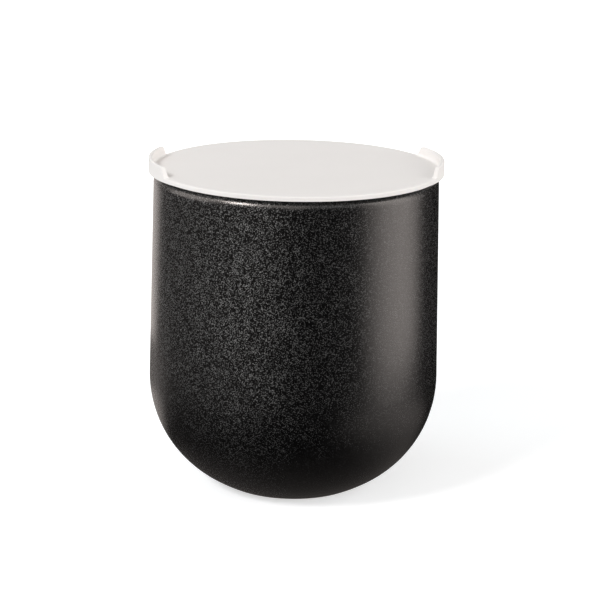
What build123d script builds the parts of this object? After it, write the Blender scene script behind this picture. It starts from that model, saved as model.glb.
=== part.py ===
from build123d import *
from math import cos, radians, tan
import os

# Storage canister: a stoneware pot with a round belly, a flat moulded lid with two finger lugs,
# and the soft ring that holds the lid in the pot's mouth.
# Millimetres, +Z up. The origin is the middle of the foot, where the pot stands, and the lugs lie on X.

# Pot, outside: the wall leans out from the rim to the belly, the shoulder turns in under it,
# and a nearly flat underside runs down to the foot
rim_height = 134.6
rim_radius = 59.8
rim_rounding = 3.7
belly_height = 48.0
belly_swell = 1.8
underside_reach = 8.4
underside_height = 4.7
foot_radius = 30.2

# Pot, inside and underneath
wall = 5.5
mouth_rounding = 0.9
base = 5.0
foot_width = 4.0
foot_recess = 1.8
foot_draft = 1.2
foot_rounding = 0.7

# Lid plate
lid_overhang = 0.7
lid_thickness = 2.0
lid_edge_rounding = 0.6
lid_bottom_rounding = 0.2

# Finger lugs: they curve tighter than the plate, and their width is taken across the ends at half height
lug_stand = 1.45
lug_wall = 1.6
lug_height = 4.2
lug_width = 46.5
lug_curve = 53.0
lug_slope = 60.0
lug_end_rounding = 1.2
lug_blend = 20.0
lug_root = 1.0
lug_bevel = 0.4

# Spigot under the lid, with the lip that keeps the ring on
spigot_wall = 2.0
spigot_lip = 0.9
spigot_lip_height = 1.4
spigot_lip_rounding = 0.5
spigot_root = 1.2

# Sealing ring: a sleeve on the spigot, a flange on the rim and thin fins towards the mouth's wall
flange_thickness = 0.4
sleeve_wall = 1.6
sleeve_height = 8.4
fin_count = 3
fin_reach = 1.7
fin_rise = 0.7
fin_root = 0.9
fin_tip = 0.4

# Clearances
ring_running_fit = 0.05
fin_clearance = 0.3

# How far cuts run past what they cut, and how near two places count as one
cut_margin = 1.0
touch = 0.01

# Places that follow from the sizes above
belly_radius = rim_radius + belly_swell
mouth_radius = rim_radius - wall
floor_height = foot_recess + base
lid_radius = rim_radius + lid_overhang
lid_bottom = rim_height + flange_thickness
lid_top = lid_bottom + lid_thickness
lug_radius = lid_radius + lug_stand
lug_inner = lug_radius - lug_wall
lug_top = lid_top + lug_height
lug_centre = lug_radius - lug_curve
lug_run = lug_height / tan(radians(lug_slope))
flange_radius = rim_radius - rim_rounding
fin_radius = mouth_radius - fin_clearance
sleeve_outer = fin_radius - fin_reach
sleeve_inner = sleeve_outer - sleeve_wall
sleeve_bottom = lid_bottom - sleeve_height
spigot_outer = sleeve_inner - ring_running_fit
spigot_inner = spigot_outer - spigot_wall
spigot_bottom = sleeve_bottom - spigot_lip_height


def reach(edge):
    """How far the middle of an edge lies from the pot's axis."""
    middle = edge @ 0.5
    return Vector(middle.X, middle.Y).length


# Pot: one turned section, the same thickness from the rim round to the flat floor
with BuildPart() as canister:
    with BuildSketch(Plane.XZ) as pot_section:
        with BuildLine():
            Line((mouth_radius, rim_height), (rim_radius, rim_height))
            outer_wall = Line((rim_radius, rim_height), (belly_radius, belly_height))
            skirt = (foot_radius + underside_reach, underside_height)
            outer_shoulder = TangentArc(outer_wall @ 1, skirt, tangent=outer_wall % 1)
            underside = TangentArc(skirt, (foot_radius, 0), tangent=outer_shoulder % 1)
            foot_inner = foot_radius - foot_width
            Polyline(
                underside @ 1,
                (foot_inner, 0),
                (foot_inner - foot_draft, foot_recess),
                (0, foot_recess),
                (0, floor_height),
            )
            inner_wall = Line((mouth_radius, rim_height), (belly_radius - wall, belly_height))
            turn = (outer_shoulder % 0).get_angle(outer_shoulder % 1)
            inner_shoulder = JernArc(inner_wall @ 1, inner_wall % 1, outer_shoulder.radius - wall, -turn)
            slope = (inner_shoulder % 1).get_angle(Vector(-1, 0, 0))
            bowl_radius = ((inner_shoulder @ 1).Y - floor_height) / (1 - cos(radians(slope)))
            bowl = JernArc(inner_shoulder @ 1, inner_shoulder % 1, bowl_radius, -slope)
            Line(bowl @ 1, (0, floor_height))
        make_face()
        for corner, rounding in (
            ((rim_radius, rim_height), rim_rounding),
            ((mouth_radius, rim_height), mouth_rounding),
            ((foot_radius, 0), foot_rounding),
            ((foot_inner, 0), foot_rounding),
        ):
            fillet(pot_section.vertices().sort_by_distance(corner)[0], rounding)
    revolve(axis=Axis.Z)
canister.part.label = "canister"

# Lid: a plate whose outline swells at the lugs, with a spigot underneath
with BuildPart() as lid:
    with BuildSketch(Plane.XY.offset(lid_bottom)) as outline:
        Circle(lid_radius)
        with Locations((lug_centre, 0), (-lug_centre, 0)):
            Circle(lug_curve)
        fillet(outline.vertices(), lug_blend)
    extrude(amount=lid_thickness + lug_height)
    # Seen along X, each end of a lug slopes down to the plate
    beyond = lug_radius + cut_margin
    end_crest = (lug_width / 2 - lug_run / 2, lug_top)
    end_foot = (lug_width / 2 + lug_run / 2, lid_top)
    with BuildSketch(Plane.YZ) as ends:
        with BuildLine():
            Polyline(
                (beyond, lid_top),
                end_foot,
                end_crest,
                (0, lug_top),
                (0, lug_top + cut_margin),
                (beyond, lug_top + cut_margin),
                close=True,
            )
        make_face()
        for corner in (end_crest, end_foot):
            fillet(ends.vertices().sort_by_distance(corner)[0], lug_end_rounding)
        mirror(about=Plane.YZ)
    extrude(amount=beyond, both=True, mode=Mode.SUBTRACT)
    # The outline's edge is rounded all the way round, above and below
    upper = lid.edges().filter_by(lambda e: min((e @ 0).Z, (e @ 1).Z) > lid_top - touch)
    fillet(upper.filter_by(lambda e: reach(e) > lid_radius - touch), lid_edge_rounding)
    lower = lid.edges().filter_by(lambda e: max((e @ 0).Z, (e @ 1).Z) < lid_bottom + touch)
    fillet(lower, lid_bottom_rounding)
    # Inside the lugs the plate's face is bare, with a rounded root and a bevel along the lugs' crests
    for side in (1, -1):
        with BuildSketch(Plane.XZ) as inside:
            with BuildLine():
                Polyline(
                    (side * lug_centre, lid_top),
                    (side * lug_inner, lid_top),
                    (side * lug_inner, lug_top - lug_bevel),
                    (side * (lug_inner + lug_bevel + cut_margin), lug_top + cut_margin),
                    (side * lug_centre, lug_top + cut_margin),
                    close=True,
                )
            make_face()
            fillet(inside.vertices().sort_by_distance((side * lug_inner, lid_top))[0], lug_root)
        revolve(axis=Axis((side * lug_centre, 0, 0), (0, 0, 1)), mode=Mode.SUBTRACT)
    with BuildSketch(Plane.XZ) as spigot_section:
        with BuildLine():
            Polyline(
                (spigot_inner, lid_bottom),
                (spigot_outer, lid_bottom),
                (spigot_outer, sleeve_bottom),
                (spigot_outer + spigot_lip, sleeve_bottom),
                (spigot_outer + spigot_lip, spigot_bottom),
                (spigot_inner, spigot_bottom),
                close=True,
            )
        make_face()
        lip_corner = (spigot_outer + spigot_lip, spigot_bottom)
        fillet(spigot_section.vertices().sort_by_distance(lip_corner)[0], spigot_lip_rounding)
    revolve(axis=Axis.Z)
    roots = lid.edges().filter_by(lambda e: abs((e @ 0.5).Z - lid_bottom) < touch)
    fillet(roots.filter_by(lambda e: abs(reach(e) - spigot_inner) < touch), spigot_root)
lid.part.label = "lid"

# Sealing ring: one turned section of sleeve, flange and fins
with BuildPart() as sealing_ring:
    with BuildSketch(Plane.XZ):
        with BuildLine():
            Polyline(
                (sleeve_inner, sleeve_bottom),
                (sleeve_outer, sleeve_bottom),
                (sleeve_outer, rim_height),
                (flange_radius, rim_height),
                (flange_radius, lid_bottom),
                (sleeve_inner, lid_bottom),
                close=True,
            )
        make_face()
        fin_pitch = (rim_height - sleeve_bottom) / fin_count
        for fin in range(fin_count):
            fin_bottom = sleeve_bottom + fin * fin_pitch
            with BuildLine():
                Polyline(
                    (sleeve_outer, fin_bottom),
                    (fin_radius, fin_bottom + fin_rise),
                    (fin_radius, fin_bottom + fin_rise + fin_tip),
                    (sleeve_outer, fin_bottom + fin_root),
                    close=True,
                )
            make_face()
    revolve(axis=Axis.Z)
sealing_ring.part.label = "sealing_ring"

os.makedirs("parts", exist_ok=True)
export_step(canister.part, "parts/canister.step")
export_step(lid.part, "parts/lid.step")
export_step(sealing_ring.part, "parts/sealing_ring.step")
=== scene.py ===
from math import cos, pi, radians, sin

import bpy
from mathutils import Matrix, Vector


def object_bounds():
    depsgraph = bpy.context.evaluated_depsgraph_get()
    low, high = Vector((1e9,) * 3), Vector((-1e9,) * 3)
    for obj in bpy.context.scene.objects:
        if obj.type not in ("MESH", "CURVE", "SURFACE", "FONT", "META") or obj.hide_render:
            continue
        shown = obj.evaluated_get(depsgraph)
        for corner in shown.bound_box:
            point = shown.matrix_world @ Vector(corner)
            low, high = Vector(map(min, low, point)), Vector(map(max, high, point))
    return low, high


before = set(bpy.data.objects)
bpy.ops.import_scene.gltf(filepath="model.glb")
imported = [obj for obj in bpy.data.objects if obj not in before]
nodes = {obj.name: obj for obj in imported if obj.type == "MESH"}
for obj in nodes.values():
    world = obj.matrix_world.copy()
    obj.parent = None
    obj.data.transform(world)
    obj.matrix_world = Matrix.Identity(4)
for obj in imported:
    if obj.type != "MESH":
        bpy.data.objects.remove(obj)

# Storage canister: finishes for the three CAD nodes, and a plain studio around them

cad_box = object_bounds()
lowest = cad_box[0]

# Floor, in metres
FLOOR_SIZE = 16.0
FLOOR_COLOUR = (0.7, 0.7, 0.7, 1)
FLOOR_LIFT = 0.58

# Camera: it looks down on the canister, a little from its left, and leans by a degree
CAMERA_TURN = -4.7
CAMERA_TILT = 15.02
CAMERA_LEAN = 1.0
CAMERA_DISTANCE = 0.9
CAMERA_LENS = 126.6
AIM_HEIGHT = 0.079
AIM_RIGHT = 0.0024

# Lamps: a turn counts to the right from the camera's side, and strength 1 on a white face renders white
LAMPS = {
    "key_lamp": {"turn": -47, "tilt": 40, "spread": 15, "strength": 0.567, "gloss": False},
    "front_lamp": {"turn": -10, "tilt": 25, "spread": 50, "strength": 0.2, "gloss": False},
    "left_lamp": {"turn": -100, "tilt": 32, "spread": 46, "strength": 0.2, "colour": (0.87, 1, 1.08)},
    "side_lamp": {"turn": 84, "tilt": 18, "spread": 58, "strength": 0.71},
}

# Sky: its strength as light, and the white that the camera, gloss and glass see instead
SKY_LIGHT = 0.225
SKY_WHITE = 1.0

# Cards that only gloss sees, in metres, with the core and the lift's span in halves of a card's sides
CARD_COLOUR = (1, 0.91, 0.86, 1)
CARD_LIFT_SPAN = (-0.5, 0)
CARDS = {
    "right_card": {
        "turn": 78, "distance": 0.24, "middle": 0.186, "width": 0.33, "height": 0.36,
        "strength": 2.95, "core": 0.1, "lift": 0.4,
    },
    "left_card": {
        "turn": -144, "distance": 0.25, "middle": 0.18, "width": 0.19, "height": 0.36,
        "strength": 1.15, "core": 0.5,
    },
    "front_card": {
        "turn": -25, "distance": 0.8, "middle": 0.9, "width": 1.4, "height": 0.7,
        "strength": 2.3, "core": 0.5, "lean": 45,
    },
    "spot_card": {
        "turn": -53, "distance": 0.8, "middle": 0.8, "width": 0.36, "height": 0.24,
        "strength": 72.0, "core": 0.3, "lean": 40,
    },
    "rim_card": {
        "turn": -92, "distance": 0.8, "middle": 0.5, "width": 1.0, "height": 0.7,
        "strength": 2.9, "core": 0.5, "lean": 25,
    },
}

# Tray that only gloss sees, in metres: a nearly black sheet that puts painted shade into the glaze's
# reflections
TRAY_RADIUS = 1.2
TRAY_WALL = 0.7
TRAY_SIDES = 64
TRAY_ABOVE_FLOOR = 0.0002

# Glow of the tray, painted reflections of light: all over, near the pot, to its left and in patches, with
# spans and places in millimetres
TRAY_GLOW = 0.012
TRAY_NEAR_GLOW = 0.09
TRAY_NEAR_SPAN = (40, 85)
TRAY_LEFT_GLOW = 0.12
TRAY_LEFT_SPAN = (0, 250)
TRAY_PATCH_CORE = 20
TRAY_PATCHES = (
    {"across": 150, "back": -70, "reach": 130, "glow": 0.75},
    {"across": -150, "back": 120, "reach": 110, "glow": 0.3},
    {"across": -90, "back": 75, "reach": 60, "glow": 0.5},
)

# Glaze, in millimetres
GLAZE_BLACK = (0.0012, 0.0012, 0.0013, 1)
GLAZE_ROUGHNESS = 0.26
GLAZE_IOR = 1.5
GLAZE_DRIFT = 9.0
GLAZE_MOTTLE = 5.0
GLAZE_GRAIN = 0.5
GLAZE_RELIEF = 0.012
GLAZE_RELIEF_GRAIN = 0.4

# Specks in the glaze: each is full over its core and gone at its edge, as shares of the pitch
SPECK_GREY = (0.276, 0.271, 0.266, 1)
SPECK_ROUGHNESS = 0.2
SPECK_PITCH = 0.32
SPECK_CORE = 0.35
SPECK_EDGE = 0.85

# Each cell of the pattern draws a chance: below the first no speck shows, and at the last it is full
SPECK_CHANCES = (0.58, 1.05)
SPECK_CLUMPING = 0.2

# Where the specks thin out: spans of height and of the way to the left, and the share kept at the thin end.
# The leftward spans are painted light: more specks where the key lamp falls on the left, and fewer on the
# right and at the far left as painted shade
UPWARD_SPAN = (16, 88)
UPWARD_WAVER = 24
LOW_SHARE = 0.16
LEFT_LIGHT_SPAN = (-4, 26)
LEFT_LIGHT_WAVER = 8
RIGHT_SHADE_SHARE = 0.31
FAR_LEFT_SHADE_SPAN = (22, 50)
FAR_LEFT_SHADE_LOSS = 0.35

# Bare clay on the foot's edge, in millimetres
CLAY_DEEP = (0.33, 0.27, 0.22, 1)
CLAY_PALE = (0.45, 0.38, 0.31, 1)
CLAY_ROUGHNESS = 0.4
BARE_SPAN = (0.7, 1.1)
BARE_WAVER = 0.5

# Lid's moulding, in millimetres
MOULDING_PALE = (0.799, 0.764, 0.739, 1)
MOULDING_DEEP = (0.779, 0.744, 0.719, 1)
MOULDING_DRIFT = 18.0
MOULDING_GRAIN = 0.35
MOULDING_RELIEF = 0.004
MOULDING_ROUGHNESS = 0.62
MOULDING_ROUGHER = 0.1
MOULDING_SPECULAR = 0.15

# Ring's silicone, in millimetres
SILICONE_DEEP = (0.46, 0.46, 0.45, 1)
SILICONE_PALE = (0.52, 0.52, 0.50, 1)
SILICONE_DRIFT = 7.0
SILICONE_GRAIN = 0.5
SILICONE_RELIEF = 0.006
SILICONE_ROUGHNESS = 0.4
SILICONE_ROUGHER = 0.12

MILLIMETRES = 1000.0


def direction(turn, tilt):
    """The way from the canister to something at that turn from the camera's side, and that high."""
    turn, tilt = radians(turn + CAMERA_TURN), radians(tilt)
    return Vector((sin(turn) * cos(tilt), -cos(turn) * cos(tilt), sin(tilt)))


def face(thing, way):
    """Turns a thing so that its Z axis points that way."""
    thing.rotation_mode = "QUATERNION"
    thing.rotation_quaternion = way.to_track_quat("Z", "Y")


class Value:
    """A socket of a finish. Operators on values add Math nodes, and node() adds any other node."""

    def __init__(self, tree, socket=None):
        self.tree = tree
        self.socket = socket

    def node(self, kind, inputs, settings=None, output=0):
        """Adds a node: its settings go in first, then the values or links of its sockets."""
        made = self.tree.nodes.new("ShaderNode" + kind)
        for name, setting in (settings or {}).items():
            setattr(made, name, setting)
        for key, value in inputs.items():
            if isinstance(value, Value):
                self.tree.links.new(value.socket, made.inputs[key])
            else:
                made.inputs[key].default_value = value
        return Value(self.tree, made.outputs[output] if made.outputs else None)

    def maths(self, operation, first, second=0):
        """Adds a Math node."""
        return self.node("Math", {0: first, 1: second}, {"operation": operation})

    def __add__(self, other):
        return self.maths("ADD", self, other)

    def __sub__(self, other):
        return self.maths("SUBTRACT", self, other)

    def __rsub__(self, other):
        return self.maths("SUBTRACT", other, self)

    def __mul__(self, other):
        return self.maths("MULTIPLY", self, other)

    __radd__ = __add__
    __rmul__ = __mul__


def start_finish(name):
    """A new material and the start of its nodes."""
    material = bpy.data.materials.new(name)
    material.use_nodes = True
    material.node_tree.nodes.clear()
    return material, Value(material.node_tree)


def millimetres(mix):
    """The place on the piece, in millimetres."""
    place = mix.node("TexCoord", {}, output="Object")
    return mix.node("VectorMath", {0: place, "Scale": MILLIMETRES}, {"operation": "SCALE"})


def part_of(mix, vector, axis):
    """One of the three numbers of a place or a colour."""
    return mix.node("SeparateXYZ", {0: vector}, output=axis)


def clouds(mix, place, size, detail=2.0):
    """Soft noise from 0 to 1, whose blotches are about size millimetres apart."""
    return mix.node("TexNoise", {"Vector": place, "Scale": 1 / size, "Detail": detail})


def grains(mix, place, size, output="Distance"):
    """Cells about size millimetres apart: the distance to each cell's middle, or each cell's own colour."""
    return mix.node("TexVoronoi", {"Vector": place, "Scale": 1 / size}, output=output)


def rise(mix, value, low, high):
    """0 below low, 1 above high, and smooth between them."""
    sockets = {"Value": value, "From Min": low, "From Max": high}
    return mix.node("MapRange", sockets, {"interpolation_type": "SMOOTHSTEP"})


def at_least(least, share):
    """A share squeezed so that it runs from least to 1."""
    return least + share * (1 - least)


def blend_colours(mix, share, first, second):
    """The first colour where share is 0, and the second where it is 1."""
    sockets = {0: share, 6: first, 7: second}
    return mix.node("Mix", sockets, {"data_type": "RGBA"}, output=2)


def bump(mix, height, depth):
    """Normals of a relief whose height runs from 0 to 1 over depth millimetres."""
    return mix.node("Bump", {"Height": height, "Distance": depth / MILLIMETRES, "Strength": 1.0})


def surface(mix, sockets):
    """Ends a finish with one shader that has these sockets."""
    mix.node("OutputMaterial", {"Surface": mix.node("BsdfPrincipled", sockets)})


def glaze():
    """Satin black stoneware glaze: grey specks that thin out towards the foot, with painted light in them:
    denser on the left, where the key lamp falls, and thinner to the right and at the far left as painted
    shade.
    """
    material, mix = start_finish("speckled_black_glaze")
    place = millimetres(mix)
    across = part_of(mix, place, "X")
    height = part_of(mix, place, "Z")
    drift = clouds(mix, place, GLAZE_DRIFT)
    mottle = clouds(mix, place, GLAZE_MOTTLE, detail=1.0)
    fine = clouds(mix, place, GLAZE_GRAIN, detail=1.0)
    cell = grains(mix, place, SPECK_PITCH)
    chance = part_of(mix, grains(mix, place, SPECK_PITCH, "Color"), 0)
    upper = rise(mix, height + drift * UPWARD_WAVER - UPWARD_WAVER / 2, *UPWARD_SPAN)
    # painted light: more specks to the left, where the key lamp falls, and fewer to the right as painted
    # shade
    left = rise(mix, drift * LEFT_LIGHT_WAVER - LEFT_LIGHT_WAVER / 2 - across, *LEFT_LIGHT_SPAN)
    # painted shade: fewer specks again at the far left, where the key lamp's light falls off
    far_left_shade = rise(mix, 0 - across, *FAR_LEFT_SHADE_SPAN)
    dot = 1 - rise(mix, cell, SPECK_CORE, SPECK_EDGE)
    speck = dot * rise(mix, chance + (mottle - 0.5) * SPECK_CLUMPING, *SPECK_CHANCES)
    grain = speck * at_least(LOW_SHARE, upper) * at_least(RIGHT_SHADE_SHARE, left) * (1 - far_left_shade * FAR_LEFT_SHADE_LOSS)
    bare = 1 - rise(mix, height + drift * BARE_WAVER, *BARE_SPAN)
    black = blend_colours(mix, grain, GLAZE_BLACK, SPECK_GREY)
    clay = blend_colours(mix, fine, CLAY_DEEP, CLAY_PALE)
    relief = fine * GLAZE_RELIEF_GRAIN + mottle * (1 - GLAZE_RELIEF_GRAIN)
    surface(mix, {
        "Base Color": blend_colours(mix, bare, black, clay),
        "Roughness": GLAZE_ROUGHNESS + grain * SPECK_ROUGHNESS + bare * CLAY_ROUGHNESS,
        "Normal": bump(mix, relief, GLAZE_RELIEF),
        "IOR": GLAZE_IOR,
    })
    return material


def moulded_plastic():
    """Matte warm white moulding with a very fine grain."""
    material, mix = start_finish("warm_white_moulding")
    place = millimetres(mix)
    drift = clouds(mix, place, MOULDING_DRIFT)
    fine = clouds(mix, place, MOULDING_GRAIN)
    surface(mix, {
        "Base Color": blend_colours(mix, drift, MOULDING_PALE, MOULDING_DEEP),
        "Roughness": MOULDING_ROUGHNESS + fine * MOULDING_ROUGHER,
        "Normal": bump(mix, fine, MOULDING_RELIEF),
        "Specular IOR Level": MOULDING_SPECULAR,
    })
    return material


def silicone():
    """Soft grey silicone, a little milky."""
    material, mix = start_finish("grey_silicone")
    place = millimetres(mix)
    drift = clouds(mix, place, SILICONE_DRIFT)
    fine = clouds(mix, place, SILICONE_GRAIN)
    surface(mix, {
        "Base Color": blend_colours(mix, drift, SILICONE_DEEP, SILICONE_PALE),
        "Roughness": SILICONE_ROUGHNESS + fine * SILICONE_ROUGHER,
        "Normal": bump(mix, fine, SILICONE_RELIEF),
    })
    return material


def seen_direct(mix):
    """1 for rays from the camera, and for those that gloss and glass send on."""
    path = mix.node("LightPath", {}, output="Is Camera Ray")
    glossy = mix.node("LightPath", {}, output="Is Glossy Ray")
    through = mix.node("LightPath", {}, output="Is Transmission Ray")
    return mix.maths("MINIMUM", path + glossy + through, 1.0)


def floor_finish():
    """A pale diffuse floor, lifted to white for the camera, which keeps the shadow."""
    material, mix = start_finish("pale_floor")
    base = mix.node("BsdfDiffuse", {"Color": FLOOR_COLOUR})
    lift = mix.node("Emission", {"Strength": seen_direct(mix) * FLOOR_LIFT})
    mix.node("OutputMaterial", {"Surface": mix.node("AddShader", {0: base, 1: lift})})
    return material


def glow_finish(name, shine):
    """A finish that only glows: shine makes its strength from the finish's nodes."""
    material, mix = start_finish(name)
    glow = mix.node("Emission", {"Color": CARD_COLOUR, "Strength": shine(mix)})
    mix.node("OutputMaterial", {"Surface": glow})
    return material


def lay_floor():
    """A wide floor that the canister stands on."""
    bpy.ops.mesh.primitive_plane_add(size=FLOOR_SIZE, location=(0, 0, lowest.z))
    floor = bpy.context.object
    floor.name = "floor"
    floor.data.materials.append(floor_finish())


def show_only_in_gloss(card, name, finish):
    """Names and finishes a card, or a piece of the tray, and hides it from all but gloss."""
    card.name = name
    card.data.materials.append(finish)
    card.visible_camera = False
    card.visible_diffuse = False
    card.visible_transmission = False
    card.visible_volume_scatter = False
    card.visible_shadow = False


def lay_tray():
    """A round tray about the canister: nearly black, as painted shade in reflections, and glowing near the
    pot, to its left and in patches, as painted reflections.
    """
    def shine(mix):
        place = millimetres(mix)
        away = mix.node("VectorMath", {0: place}, {"operation": "LENGTH"}, output="Value")
        near = 1 - rise(mix, away, *TRAY_NEAR_SPAN)
        left = rise(mix, 0 - part_of(mix, place, "X"), *TRAY_LEFT_SPAN)
        glow = TRAY_GLOW + near * TRAY_NEAR_GLOW + left * TRAY_LEFT_GLOW
        for patch in TRAY_PATCHES:
            centre = (patch["across"], patch["back"], 0)
            off = mix.node("VectorMath", {0: place, 1: centre}, {"operation": "DISTANCE"}, output="Value")
            glow = glow + patch["glow"] * (1 - rise(mix, off, TRAY_PATCH_CORE, patch["reach"]))
        return glow

    finish = glow_finish("dark_tray", shine)
    round_form = {"vertices": TRAY_SIDES, "radius": TRAY_RADIUS}
    base_place = (0, 0, lowest.z + TRAY_ABOVE_FLOOR)
    bpy.ops.mesh.primitive_circle_add(fill_type="NGON", location=base_place, **round_form)
    show_only_in_gloss(bpy.context.object, "tray_base", finish)
    wall_place = (0, 0, lowest.z + TRAY_WALL / 2)
    bpy.ops.mesh.primitive_cylinder_add(
        depth=TRAY_WALL, end_fill_type="NOTHING", location=wall_place, **round_form)
    show_only_in_gloss(bpy.context.object, "tray_wall", finish)


def hang_card(name, turn, distance, middle, width, height, strength, core, lean=0, lift=0):
    """A glowing card that faces the canister, or looks down on it where it leans.

    Its glow is full over the core and fades out to its sides, and lift is what its upper half has more."""
    def shine(mix):
        on_card = mix.node("TexCoord", {}, output="Object")
        aside = mix.maths("ABSOLUTE", part_of(mix, on_card, "X"))
        upper = rise(mix, part_of(mix, on_card, "Y"), *CARD_LIFT_SPAN)
        return strength * (1 - rise(mix, aside, core, 1)) * (1 + upper * lift)

    place = direction(turn, 0) * distance + Vector((0, 0, middle))
    bpy.ops.mesh.primitive_plane_add(size=2, location=place)
    card = bpy.context.object
    card.scale = (width / 2, height / 2, 1)
    face(card, direction(turn, lean))
    show_only_in_gloss(card, name, glow_finish(name, shine))


def hang_lamp(name, turn, tilt, spread, strength, gloss=True, colour=(1, 1, 1)):
    """A soft lamp far away, so that its light is even over the whole floor."""
    data = bpy.data.lights.new(name, "SUN")
    data.angle = radians(spread)
    data.energy = strength * pi
    data.color = colour
    lamp = bpy.data.objects.new(name, data)
    lamp.visible_glossy = gloss
    face(lamp, direction(turn, tilt))
    bpy.context.scene.collection.objects.link(lamp)


def light_sky():
    """A plain sky that lights softly and is seen as white."""
    world = bpy.data.worlds.new("studio")
    world.use_nodes = True
    world.node_tree.nodes.clear()
    mix = Value(world.node_tree)
    strength = SKY_LIGHT + seen_direct(mix) * (SKY_WHITE - SKY_LIGHT)
    sky = mix.node("Background", {"Color": (1, 1, 1, 1), "Strength": strength})
    mix.node("OutputWorld", {"Surface": sky})
    bpy.context.scene.world = world


def place_camera():
    """The camera stands back from its aim, and leans about its line of sight."""
    turn, lean = radians(CAMERA_TURN), radians(CAMERA_LEAN)
    back = direction(0, CAMERA_TILT)
    right = Vector((cos(turn), sin(turn), 0))
    up = back.cross(right)
    across = right * cos(lean) + up * sin(lean)
    along = up * cos(lean) - right * sin(lean)
    place = right * AIM_RIGHT + Vector((0, 0, AIM_HEIGHT)) + back * CAMERA_DISTANCE
    data = bpy.data.cameras.new("camera")
    data.lens = CAMERA_LENS
    data.clip_end = 2 * FLOOR_SIZE
    camera = bpy.data.objects.new("camera", data)
    bpy.context.scene.collection.objects.link(camera)
    turned = Matrix((across, along, back)).transposed().to_4x4()
    camera.matrix_world = Matrix.Translation(place) @ turned
    bpy.context.scene.camera = camera


# Finishes
bpy.ops.object.select_all(action="DESELECT")
for name, finish in (("canister", glaze), ("lid", moulded_plastic), ("sealing_ring", silicone)):
    piece = nodes[name]
    piece.data.materials.clear()
    piece.data.materials.append(finish())

# Studio
lay_floor()
lay_tray()
for name, card in CARDS.items():
    hang_card(name, **card)
light_sky()
for name, lamp in LAMPS.items():
    hang_lamp(name, **lamp)
place_camera()
bpy.context.scene.view_settings.view_transform = "Standard"
